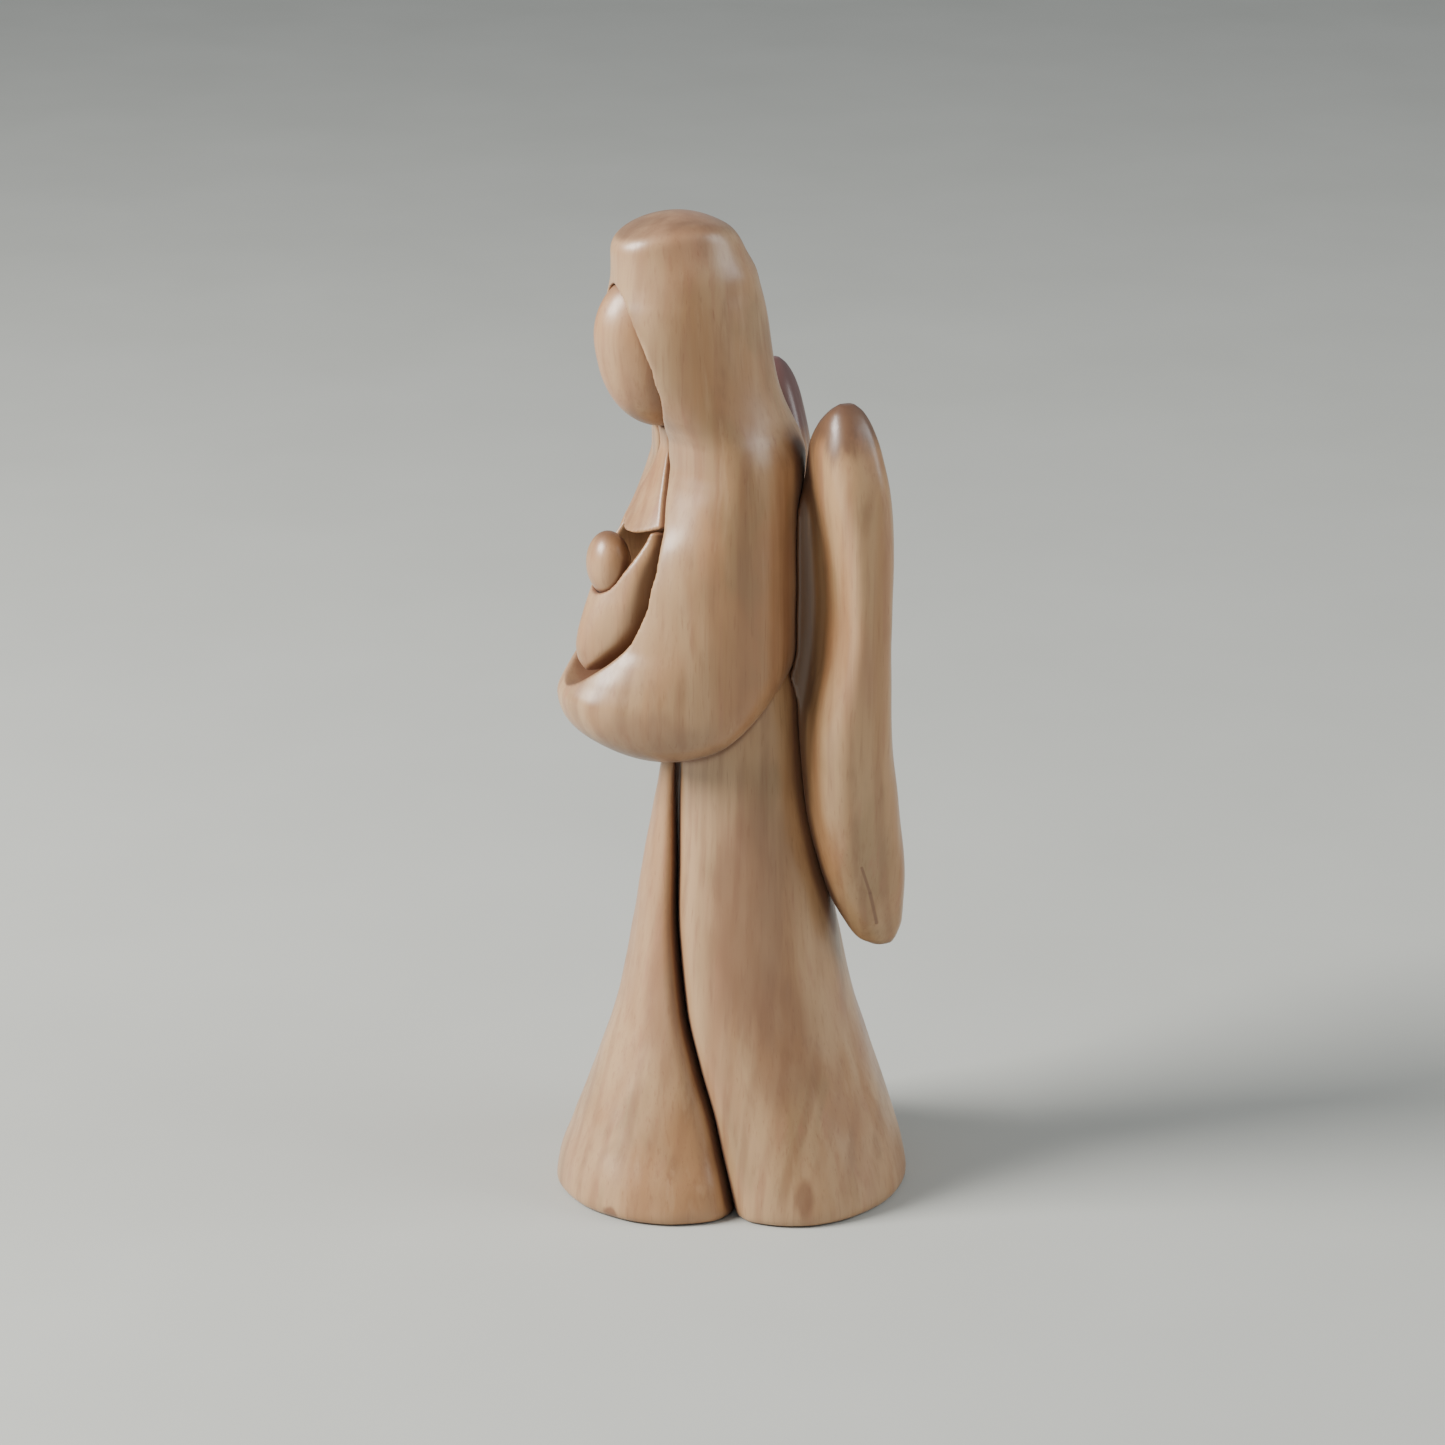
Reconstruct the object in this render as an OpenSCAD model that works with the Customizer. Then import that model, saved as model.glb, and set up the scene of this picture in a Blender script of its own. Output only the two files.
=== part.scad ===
// Carved wooden figurine: a hooded, faceless guardian angel that holds a swaddled baby.
// The figure faces -Y, its left side is +X, and it stands on the plane z = 0.
// Every carved body is a loft: a stack of rounded sections given by a short table of rows.

/* [Figure] */
// Height from the table to the top of the hood
figure_h = 150; // [120:1:200]
// Width of the hem of the robe
hem_w = 49.4; // [44:0.2:54]
// Width of the dress panel at the hem
panel_w = 35.8; // [33:0.2:37]
// Width of the cloak at its widest
cloak_w = 31; // [28:0.5:33]

/* [Face and baby] */
// Width of the blank face
face_w = 14; // [13:0.2:15]
// Height of the blank face
face_h = 23.2; // [21:0.2:24]
// Width of the baby's head
baby_head_w = 8.2; // [6:0.2:9]

/* [Wings] */
// Span from the outer edge of one wing to the other
wing_span = 44; // [40:0.5:48]
// Slit between the inner edges of the two wings
wing_slit = 2; // [1.5:0.1:3]

/* [Joints] */
// Glue gap left between two pieces
glue_gap = 0.1; // [0.05:0.01:0.2]
// Diameter of the round tenon on top of the robe
tenon_d = 12; // [8:0.5:13]
// Length of that tenon
tenon_l = 7; // [5:0.5:10]
// Diameter of the dowels that hold the wings
dowel_d = 3; // [2:0.1:3.4]
// Length of those dowels
dowel_l = 11; // [8:0.5:12]

/* [Carving] */
// Width of the carved groove at each side of the dress panel
groove_w = 1.8; // [1:0.1:2.4]
// Width of the groove between the swaddle and the cloak
pouch_groove_w = 1.8; // [1:0.1:2.2]

/* [Hidden] */

// All tables are written for a figure of this height and scaled to figure_h
table_h = 150;
size = figure_h / table_h;

// Columns of a section row: height, share of the half width, y of the front, y of the widest
// place, y of the back, squareness of the front half (2 is an ellipse), x of the middle
HEIGHT = 0;
WIDTH = 1;
FRONT = 2;
WIDEST = 3;
BACK = 4;
SQUARE = 5;
MIDDLE = 6;

// Robe: a flared skirt that narrows to the waist and ends flat inside the cloak
robe_rows = [
    [0, 1.00, -11.5, 6, 27, 2, 0],
    [4, 0.98, -11.7, 6, 26.6, 2, 0],
    [10, 0.91, -11.9, 5.5, 25, 2, 0],
    [20, 0.77, -12.9, 4.5, 21.8, 2, 0],
    [30, 0.67, -13.6, 3.5, 18.7, 2, 0],
    [40, 0.61, -13.2, 3, 16.5, 2, 0],
    [50, 0.56, -11.6, 2.5, 14.7, 2, 0],
    [60, 0.52, -10.4, 2, 12.9, 2, 0],
    [74, 0.48, -8.8, 1.5, 11.4, 2, 0],
    [78, 0.47, -8.5, 1.5, 10.4, 2, 0],
    [82, 0.46, -8.2, 1.5, 8.8, 2, 0],
    [86, 0.45, -8, 1.5, 8, 2, 0]
];

// Dress panel: a tall A in front of the robe, with a lobed hem
panel_rows = [
    [0, 1.00, -27, -9.2, 7.4, 2, 0],
    [4, 0.97, -26.4, -9, 7.4, 2, 0],
    [10, 0.83, -24.4, -9, 6.4, 2, 0],
    [20, 0.66, -20.5, -9.6, 4.4, 2, 0],
    [30, 0.52, -16.9, -10.4, 2.4, 2, 0],
    [40, 0.41, -14.9, -10.8, 0.4, 2, 0],
    [50, 0.30, -13.4, -10.2, -1.6, 2, 0],
    [60, 0.21, -11.7, -9.4, -2.6, 2, 0],
    [70, 0.13, -10.2, -8.4, -3.6, 2, 0]
];

// Mantle: a bulb-shaped cloak that runs up over the shoulders into a hood
mantle_rows = [
    [68.6, 0.25, -13.5, -9, -5, 2.0, 0],
    [69.6, 0.48, -16.5, -8, -3.4, 2.0, 0],
    [71, 0.62, -19, -7.2, -2, 2.0, 0],
    [73, 0.77, -22, -6.4, 0, 2.0, 0],
    [76, 0.91, -25.2, -5.4, 3.2, 2.0, 0],
    [79, 0.98, -26, -4.6, 6.4, 2.0, 0],
    [82.5, 1.00, -24.4, -3.8, 9.3, 2.0, 0],
    [85.5, 1.00, -22.5, -3.5, 9.6, 2.0, 0],
    [91, 0.99, -19.8, -3.1, 9.5, 2.0, 0],
    [97, 0.98, -18.3, -2.8, 9.4, 2.0, 0],
    [100, 0.97, -17.1, -2.7, 9.4, 2.0, 0],
    [106, 0.95, -13.7, -2.5, 9.8, 2.0, 0],
    [111, 0.92, -11.3, -2.5, 10.6, 2.0, 0],
    [114, 0.89, -10.5, -2.7, 10.9, 2.0, 0],
    [117, 0.84, -10.6, -3.2, 10.2, 2.1, 0],
    [121.5, 0.75, -13.4, -4.4, 8, 2.4, 0],
    [125, 0.70, -15.6, -5, 6.9, 2.6, 0],
    [128, 0.68, -17.3, -5.4, 6.3, 2.7, 0],
    [134, 0.65, -18.2, -6, 5.3, 2.6, 0],
    [139, 0.61, -17.7, -6.1, 4.2, 2.3, 0],
    [145, 0.51, -17.2, -6.6, 1.6, 2.1, 0],
    [147.6, 0.41, -15.4, -6.9, -0.6, 2.0, 0],
    [149.3, 0.27, -12.2, -7.3, -3.6, 2.0, 0],
    [150, 0.10, -9.4, -7.6, -5.8, 2.0, 0]
];

// Bodice: the sloping chest between the two edges of the mantle
bodice_rows = [
    [103.6, 1.00, -16.4, -11, -7, 2.6, 0],
    [106.3, 1.00, -14.4, -10, -7, 2.5, 0],
    [109, 1.00, -12.9, -9.6, -7, 2.4, 0],
    [111.5, 1.00, -11.8, -9, -6.6, 2.3, 0],
    [114, 1.00, -10.9, -8.6, -6, 2.2, 0],
    [118, 0.90, -10.5, -8, -5, 2.0, 0],
    [121, 0.80, -10.9, -8, -5, 2.0, 0]
];

// Swaddle: the wrapped baby, a leaf that leans out as it goes down
swaddle_rows = [
    [81.0, 0.25, -23.2, -15, -11, 2, 0],
    [83.7, 0.58, -24, -14.5, -9, 2, 0],
    [88, 0.85, -23.5, -14, -8, 2, 0],
    [91.3, 0.95, -22.5, -13.7, -7.5, 2, 0],
    [94.5, 1.00, -21.2, -13.5, -7, 2, 0],
    [100, 1.00, -19.3, -13, -7, 2, 0],
    [105, 0.92, -17.6, -12, -7, 2, 0]
];

// Left wing: a thick upright leaf, pointed at the top and swept back at the tip
wing_rows = [
    [39.1, 0.10, 18.0, 19.6, 21.2, 2.0, 12.6],
    [40.3, 0.20, 16.0, 18.8, 21.8, 2.0, 12.4],
    [43, 0.37, 14.0, 18.0, 22.4, 2.2, 12.0],
    [47, 0.53, 12.0, 17.2, 22.4, 2.4, 11.6],
    [54, 0.73, 9.6, 15.8, 21.7, 2.7, 11.2],
    [63, 0.86, 7.8, 14.2, 20.3, 3.0, 11.2],
    [72, 0.92, 7.4, 13.4, 18.7, 3.1, 11.4],
    [86, 0.97, 9.4, 13.4, 17.4, 3.2, 11.8],
    [98, 0.97, 9.6, 13.4, 17.3, 3.2, 12.1],
    [105, 0.92, 9.0, 13.3, 17.7, 3.1, 12.4],
    [111, 0.80, 8.2, 13.1, 17.5, 2.8, 12.9],
    [116, 0.63, 8.0, 12.8, 16.8, 2.5, 13.4],
    [120, 0.42, 8.8, 12.4, 15.8, 2.2, 13.9],
    [122.3, 0.23, 10.0, 12.3, 14.7, 2.0, 14.3],
    [123.4, 0.08, 11.2, 12.3, 13.5, 2.0, 14.5]
];

// Half width of the opening of the mantle: round the baby, pinched under the chin, round the face
opening_rows = [
    [81.2, 0.4],
    [82.7, 4.9],
    [84.7, 7.0],
    [87.4, 8.0],
    [92, 8.5],
    [98.6, 8.5],
    [102.6, 7.6],
    [106.5, 5.7],
    [110, 3.8],
    [112.6, 2.6],
    [115.5, 1.9],
    [117, 1.9],
    [119, 2.9],
    [121, 5.0],
    [123.3, 6.7],
    [125.6, 7.5],
    [128.6, 7.6],
    [131.5, 7.0],
    [134.2, 5.9],
    [136.7, 4.2],
    [138.5, 2.2],
    [139.8, 0.6]
];

// How finely the lofts and the eggs are cut: points round a section and sections up the piece
ring_points = 40;
ring_step = 3.2;
egg_points = 28;

robe_top = robe_rows[len(robe_rows) - 1][HEIGHT];
opening_back = -8.5;
opening_foot = opening_rows[0][HEIGHT];
opening_top = opening_rows[len(opening_rows) - 1][HEIGHT];
tenon_y = 0;
face_centre = [0, -10.3, 130.5];
face_depth = 19.8;
baby_head_centre = [0, -18.5, 99];
baby_head_size = [baby_head_w, 6.8, 9.6];
bodice_w = 19;
swaddle_w = 19;
wing_half = (wing_span - wing_slit) / 4;
dowel_x = 7.5;
dowel_heights = [58, 104];
dowel_mid_y = 9;
rib_x = 6.2;
rib_w = 7.6;
rib_heights = [57, 107];
rib_front = 4;
rib_depth = 9;
carve_depth = 2.5;
cutter_far = 40;

wood_light = [0.84, 0.68, 0.48];
wood_mid = [0.80, 0.63, 0.43];
wood_warm = [0.78, 0.59, 0.40];
wood_pale = [0.87, 0.73, 0.54];
dowel_colour = [0.72, 0.55, 0.36];

// Index of the table row just below a height
function row_below(rows, z, i = 0) =
    i >= len(rows) - 2 || z < rows[i + 1][HEIGHT] ? i : row_below(rows, z, i + 1);

// Slope of one column at row i
function slope(rows, i, column) =
    let (low = max(i - 1, 0), high = min(i + 1, len(rows) - 1))
    (rows[high][column] - rows[low][column]) / (rows[high][HEIGHT] - rows[low][HEIGHT]);

// A column of a table read at any height, on a smooth curve through its rows
function read_at(rows, z, column) =
    let (
        i = row_below(rows, z),
        span = rows[i + 1][HEIGHT] - rows[i][HEIGHT],
        t = (z - rows[i][HEIGHT]) / span,
        start = rows[i][column],
        finish = rows[i + 1][column],
        leave = slope(rows, i, column) * span,
        arrive = slope(rows, i + 1, column) * span
    )
    start * (2 * t * t * t - 3 * t * t + 1) + leave * (t * t * t - 2 * t * t + t)
    + finish * (3 * t * t - 2 * t * t * t) + arrive * (t * t * t - t * t);

// One power of a sine or cosine that keeps its sign
function rounded(value, square) = sign(value) * pow(abs(value), 2 / square);

// One point of a section: k counts round it, grow makes the section larger all round
function ring_point(rows, z, half_w, k, grow) =
    let (
        angle = 360 * k / ring_points,
        front_half = sin(angle) < 0,
        square = front_half ? read_at(rows, z, SQUARE) : 2,
        widest = read_at(rows, z, WIDEST),
        edge = read_at(rows, z, front_half ? FRONT : BACK),
        reach = abs(edge - widest) + grow,
        half = half_w * read_at(rows, z, WIDTH) + grow
    )
    [
        read_at(rows, z, MIDDLE) + half * rounded(cos(angle), square),
        widest + reach * rounded(sin(angle), square)
    ];

// A solid through all the sections of a table, with the sections closest together at its ends
module loft(rows, half_w, grow = 0) {
    low = rows[0][HEIGHT];
    high = rows[len(rows) - 1][HEIGHT];
    rings = ceil((high - low) / ring_step);
    points = [
        for (i = [0 : rings], k = [0 : ring_points - 1])
            let (
                z = low + (high - low) * (1 - cos(180 * i / rings)) / 2,
                p = ring_point(rows, z, half_w, k, grow),
                lift = i == 0 ? -abs(grow) : i == rings ? abs(grow) : 0
            )
            [p.x, p.y, z + lift] * size
    ];
    sides = [
        for (i = [0 : rings - 1], k = [0 : ring_points - 1])
            let (next = (k + 1) % ring_points)
            [
                i * ring_points + k, (i + 1) * ring_points + k,
                (i + 1) * ring_points + next, i * ring_points + next
            ]
    ];
    foot = [[for (k = [0 : ring_points - 1]) k]];
    head = [[for (k = [ring_points - 1 : -1 : 0]) rings * ring_points + k]];
    polyhedron(points, concat(sides, foot, head), convexity = 6);
}

// An egg with its centre and full size
module egg(centre, full, grow = 0) {
    translate(centre * size)
        scale((full + 2 * grow * [1, 1, 1]) * size / 2)
            sphere(r = 1, $fn = egg_points);
}

// The opening down the front of the mantle, narrower by inset on each side
module opening(inset = 0, back = opening_back) {
    heights = [for (i = [0 : 28]) opening_foot + (opening_top - opening_foot) * (1 - cos(180 * i / 28)) / 2];
    right = [for (z = heights) [max(read_at(opening_rows, z, 1) - inset, 0.1), z]];
    left = [for (i = [len(right) - 1 : -1 : 0]) [-right[i].x, right[i].y]];
    translate([0, back, inset] * size)
        rotate([90, 0, 0])
            linear_extrude(cutter_far * size)
                polygon(concat(right, left) * size);
}

// The thin slots left by the gouge along both sides of the dress panel
module panel_grooves() {
    difference() {
        intersection() {
            loft(panel_rows, panel_w / 2, groove_w / 2);
            loft(robe_rows, hem_w / 2, groove_w / 2);
        }
        loft(panel_rows, panel_w / 2, -groove_w / 2);
        loft(robe_rows, hem_w / 2, -carve_depth);
    }
}

module tenon(grow = 0) {
    translate([0, tenon_y, robe_top - 1] * size)
        cylinder(d = (tenon_d + 2 * grow) * size, h = (tenon_l + 1 + grow) * size, $fn = 64);
}

// The dowels or their bores for one wing, on the side given by side = 1 or -1
module dowel_set(side, grow = 0) {
    for (z = dowel_heights)
        translate([side * dowel_x, dowel_mid_y + dowel_l / 2 + grow, z] * size)
            rotate([90, 0, 0])
                cylinder(d = (dowel_d + 2 * grow) * size, h = (dowel_l + 2 * grow) * size, $fn = 32);
}

// The rib behind the back that carries the left wing
module wing_rib() {
    hull()
        for (z = rib_heights)
            translate([rib_x, rib_front + rib_depth, z] * size)
                rotate([90, 0, 0])
                    cylinder(d = rib_w * size, h = rib_depth * size, $fn = 32);
}

module robe() {
    color(wood_mid)
        difference() {
            union() {
                resize([0, 0, 0])
                    difference() {
                        loft(robe_rows, hem_w / 2);
                        loft(panel_rows, panel_w / 2, glue_gap);
                        panel_grooves();
                    }
                tenon();
            }
            dowel_set(1, glue_gap / 2);
            dowel_set(-1, glue_gap / 2);
        }
}

module dress_panel() {
    color(wood_light)
        resize([0, 0, 0])
            difference() {
                loft(panel_rows, panel_w / 2);
                panel_grooves();
            }
}

module mantle() {
    color(wood_light)
        difference() {
            resize([0, 0, 0])
                difference() {
                    loft(mantle_rows, cloak_w / 2);
                    opening();
                    loft(robe_rows, hem_w / 2, glue_gap);
                    loft(panel_rows, panel_w / 2, glue_gap);
                    egg(face_centre, [face_w, face_depth, face_h], glue_gap);
                }
            tenon(glue_gap);
            dowel_set(1, glue_gap / 2);
            dowel_set(-1, glue_gap / 2);
        }
}

module face() {
    color(wood_pale)
        resize([0, 0, 0])
            egg(face_centre, [face_w, face_depth, face_h]);
}

module bodice() {
    color(wood_warm)
        resize([0, 0, 0])
            difference() {
                intersection() {
                    loft(bodice_rows, bodice_w / 2);
                    opening(glue_gap, opening_back - glue_gap);
                }
                egg(face_centre, [face_w, face_depth, face_h], glue_gap);
            }
}

module swaddle() {
    color(wood_pale)
        resize([0, 0, 0])
            difference() {
                intersection() {
                    loft(swaddle_rows, swaddle_w / 2);
                    opening(pouch_groove_w, opening_back - glue_gap);
                }
                loft(bodice_rows, bodice_w / 2, glue_gap);
                egg(baby_head_centre, baby_head_size, glue_gap);
            }
}

module baby_head() {
    color(wood_light)
        resize([0, 0, 0])
            difference() {
                egg(baby_head_centre, baby_head_size);
                loft(bodice_rows, bodice_w / 2, glue_gap);
            }
}

module left_wing() {
    color(wood_warm)
        difference() {
            resize([0, 0, 0])
                difference() {
                    union() {
                        loft(wing_rows, wing_half);
                        wing_rib();
                    }
                    loft(mantle_rows, cloak_w / 2, glue_gap);
                    loft(robe_rows, hem_w / 2, glue_gap);
                    translate([wing_slit / 2 - cutter_far, 0, 0] * size)
                        cube([cutter_far, cutter_far, figure_h] * size);
                }
            dowel_set(1, glue_gap / 2);
        }
}

module right_wing() {
    color(wood_warm)
        mirror([1, 0, 0])
            left_wing();
}

module left_wing_dowels() {
    color(dowel_colour)
        dowel_set(1);
}

module right_wing_dowels() {
    color(dowel_colour)
        dowel_set(-1);
}

robe();
dress_panel();
mantle();
face();
bodice();
swaddle();
baby_head();
left_wing();
right_wing();
left_wing_dowels();
right_wing_dowels();
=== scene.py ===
"""Looks for the carved wooden figurine: carvings worked out as smooth fields, in one kind of wood."""
import math

import bpy
import numpy as np
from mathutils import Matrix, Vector


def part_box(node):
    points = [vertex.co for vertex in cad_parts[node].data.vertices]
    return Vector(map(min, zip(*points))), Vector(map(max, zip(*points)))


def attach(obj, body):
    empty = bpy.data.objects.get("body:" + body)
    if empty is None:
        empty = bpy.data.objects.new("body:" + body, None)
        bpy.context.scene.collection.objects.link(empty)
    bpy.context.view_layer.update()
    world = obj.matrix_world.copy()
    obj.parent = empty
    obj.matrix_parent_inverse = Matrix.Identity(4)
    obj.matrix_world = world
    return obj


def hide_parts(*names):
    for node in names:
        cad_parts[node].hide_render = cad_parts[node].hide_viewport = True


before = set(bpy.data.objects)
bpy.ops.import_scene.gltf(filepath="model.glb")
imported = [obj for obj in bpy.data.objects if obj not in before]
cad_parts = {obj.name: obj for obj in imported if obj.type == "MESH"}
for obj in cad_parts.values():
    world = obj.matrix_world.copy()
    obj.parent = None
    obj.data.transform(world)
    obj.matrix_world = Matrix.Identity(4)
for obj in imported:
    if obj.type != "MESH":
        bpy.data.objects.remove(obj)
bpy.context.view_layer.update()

# ---- Carving tools: millimetres, in the CAD's own frame ----

# grid cell of the carved meshes, and of those with small edges
CELL, FINE_CELL = ((0.42, 0.36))
# the gap left for glue between neighbouring pieces
GLUE = 0.12


def curve(heights, values, samples=1200):
    """A smooth curve through the points that never overshoots them, as (height, value) arrays."""
    step = np.diff(heights)
    rise = np.diff(values) / step
    slope = np.zeros_like(values)
    slope[0] = rise[0]
    slope[-1] = rise[-1]
    for i in range(1, len(values) - 1):
        if rise[i - 1] * rise[i] > 0:
            before = 2 * step[i] + step[i - 1]
            after = step[i] + 2 * step[i - 1]
            slope[i] = (before + after) / (before / rise[i - 1] + after / rise[i])
    z = np.linspace(heights[0], heights[-1], samples)
    i = np.clip(np.searchsorted(heights, z, side="right") - 1, 0, len(heights) - 2)
    t = (z - heights[i]) / step[i]
    start = values[i] * (2 * t**3 - 3 * t**2 + 1) + slope[i] * step[i] * (t**3 - 2 * t**2 + t)
    end = values[i + 1] * (3 * t**2 - 2 * t**3) + slope[i + 1] * step[i] * (t**3 - t**2)
    return z, start + end


class Sections:
    """Named measures that change smoothly with height: one row per height."""

    def __init__(self, names, rows):
        rows = np.asarray(rows, float)
        self.low = rows[0, 0]
        self.high = rows[-1, 0]
        self.curves = {n: curve(rows[:, 0], rows[:, i + 1]) for i, n in enumerate(names.split())}

    def at(self, name, z):
        return np.interp(z, *self.curves[name])


def soft_min(a, b, k):
    """Union of two fields with a fillet of about k."""
    h = np.maximum(k - np.abs(a - b), 0) / k
    return np.minimum(a, b) - h * h * k / 4


def soft_max(a, b, k):
    """Intersection of two fields with an edge rounded by about k."""
    return -soft_min(-a, -b, k)


def step_up(x, low, high):
    """0 below low, 1 above high and smooth between."""
    t = np.clip((x - low) / (high - low), 0, 1)
    return t * t * (3 - 2 * t)


def soft_ramp(x, k):
    """0 for negative x, x for positive x and smooth between."""
    return k * np.logaddexp(0, x / k)


CORNERS = [(i, j, k) for i in (0, 1) for j in (0, 1) for k in (0, 1)]


def crossings(field, cells):
    """The mean point, in cell units, where each cell's edges cross the surface."""
    value = {c: field[cells[:, 0] + c[0], cells[:, 1] + c[1], cells[:, 2] + c[2]] for c in CORNERS}
    total = np.zeros((len(cells), 3))
    hits = np.zeros(len(cells))
    for c in CORNERS:
        for axis in range(3):
            if c[axis]:
                continue
            other = tuple(1 if i == axis else c[i] for i in range(3))
            a, b = value[c], value[other]
            cut = (a < 0) != (b < 0)
            point = np.tile(np.array(c, float), (len(cells), 1))
            point[:, axis] = np.where(cut, a / np.where(cut, a - b, 1), 0)
            total[cut] += point[cut]
            hits += cut
    return total / hits[:, None]


def surface_net(field, low, cell):
    """Points and outward quads of the zero level of a field sampled on a grid."""
    inside = field < 0
    n = [s - 1 for s in field.shape]
    count = sum(inside[i:i + n[0], j:j + n[1], k:k + n[2]].astype(np.int8) for i, j, k in CORNERS)
    active = (count > 0) & (count < 8)
    cells = np.argwhere(active)
    index = -np.ones(active.shape, np.int64)
    index[active] = np.arange(len(cells))
    points = low + cell * (cells + crossings(field, cells))
    quads = []
    for axis in range(3):
        side, up = (axis + 1) % 3, (axis + 2) % 3
        first = [slice(None)] * 3
        second = [slice(None)] * 3
        first[axis] = slice(0, -1)
        second[axis] = slice(1, None)
        edge = np.argwhere(inside[tuple(first)] != inside[tuple(second)])
        keep = (edge[:, side] > 0) & (edge[:, up] > 0) & (edge[:, side] < n[side]) & (edge[:, up] < n[up])
        edge = edge[keep]
        touching = []
        for back_side, back_up in ((0, 0), (1, 0), (1, 1), (0, 1)):
            e = edge.copy()
            e[:, side] -= back_side
            e[:, up] -= back_up
            touching.append(index[e[:, 0], e[:, 1], e[:, 2]])
        quad = np.stack(touching, 1)
        flip = ~inside[edge[:, 0], edge[:, 1], edge[:, 2]]
        quad[flip] = quad[flip][:, ::-1]
        quads.append(quad)
    return points, np.concatenate(quads)


def gradient(shape, points, reach=0.02):
    """Slope of a field at the points."""
    g = np.empty_like(points)
    for axis in range(3):
        d = np.zeros(3)
        d[axis] = reach
        g[:, axis] = (shape(points + d) - shape(points - d)) / (2 * reach)
    return g


def settle(shape, points, quads, cell, rounds=5):
    """Evens the mesh out along the surface and pulls its points exactly onto it."""
    longest = 0.6 * cell
    ends = np.concatenate([quads[:, [i, (i + 1) % 4]] for i in range(4)])
    ends = np.concatenate([ends, ends[:, ::-1]])
    degree = np.bincount(ends[:, 0], minlength=len(points))[:, None]
    for turn in range(rounds):
        g = gradient(shape, points)
        steep = np.maximum((g * g).sum(1), 1e-4)
        move = -(shape(points) / steep)[:, None] * g
        size = np.linalg.norm(move, axis=1, keepdims=True)
        points = points + move * np.minimum(1, longest / np.maximum(size, 1e-9))
        if turn < rounds - 1:
            near = points[ends[:, 1]]
            total = np.stack([np.bincount(ends[:, 0], near[:, i], len(points)) for i in range(3)], 1)
            slide = total / degree - points
            normal = g / np.sqrt(steep)[:, None]
            slide -= (slide * normal).sum(1, keepdims=True) * normal
            points = points + 0.5 * slide
    return points


def carve(shape, low, high, cell=CELL):
    """Mesh of a shape inside a box, in millimetres, from a grid worked through in blocks of layers."""
    margin = 1.5 * cell
    low = np.asarray(low, float) - margin
    count = np.ceil((np.asarray(high, float) + margin - low) / cell).astype(int) + 1
    axes = [low[i] + cell * np.arange(count[i]) for i in range(3)]
    field = np.empty(count)
    layer = np.stack(np.meshgrid(axes[0], axes[1], indexing="ij"), -1).reshape(-1, 2)
    block = 16
    for k in range(0, count[2], block):
        heights = axes[2][k:k + block]
        p = np.concatenate([np.repeat(layer, len(heights), 0), np.tile(heights, len(layer))[:, None]], 1)
        field[:, :, k:k + block] = shape(p).reshape(count[0], count[1], len(heights))
    points, quads = surface_net(field, low, cell)
    return settle(shape, points, quads, cell), quads


# ---- Shapes: measures in millimetres from the middle of the base ----

# a column at each height: half its width, its front, where it is widest and its back;
# square says how far its front is from an oval, which has 2
COLUMN = "half front widest back"

ROBE = Sections(COLUMN, [
    [0, 24.6, -11.5, 6.0, 26.9],
    [1.5, 24.7, -11.5, 6.0, 27.0],
    [4, 24.3, -11.7, 6.0, 26.6],
    [10, 22.4, -11.9, 5.5, 25.0],
    [20, 19.0, -12.9, 4.5, 21.8],
    [30, 16.6, -13.6, 3.5, 18.7],
    [40, 15.0, -13.2, 3.0, 16.5],
    [50, 13.9, -11.6, 2.5, 14.7],
    [60, 12.9, -10.4, 2.0, 12.9],
    [74, 11.9, -8.8, 1.5, 11.4],
    [78, 11.7, -8.0, 1.5, 10.6],
    [80.5, 11.6, -7.2, 1.5, 9.6],
    [82, 11.5, -7.0, 1.5, 9.0],
    [86, 11.3, -6.8, 1.5, 8.2],
])

PANEL = Sections(COLUMN, [
    [0, 17.8, -26.5, -9.2, 7.4],
    [1.5, 17.9, -26.7, -9.2, 7.4],
    [4, 17.4, -26.4, -9.0, 7.4],
    [10, 14.9, -24.4, -9.0, 6.4],
    [20, 11.8, -20.5, -9.6, 4.4],
    [30, 9.3, -16.9, -10.4, 2.4],
    [40, 7.3, -14.9, -10.8, 0.4],
    [50, 5.3, -13.4, -10.2, -1.6],
    [60, 3.8, -11.7, -9.4, -2.6],
    [70, 2.4, -10.2, -8.4, -3.6],
    [74, 2.2, -9.8, -8.2, -3.6],
])

# the V groove beside the panel: where it opens and how wide
GROOVE = Sections("x y half", [
    [-2, 18.6, -5.6, 1.0],
    [1, 17.7, -6.2, 1.0],
    [5, 16.8, -6.8, 1.0],
    [9, 15.4, -7.3, 1.0],
    [14, 13.9, -7.9, 1.0],
    [22, 11.4, -9.4, 0.95],
    [31, 9.2, -10.7, 0.9],
    [42, 7.1, -11.0, 0.9],
    [54, 5.0, -10.2, 0.85],
    [64, 3.4, -9.5, 0.55],
    [69, 2.8, -9.1, 0.1],
    [74, 2.2, -8.8, 0.05],
])

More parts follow.
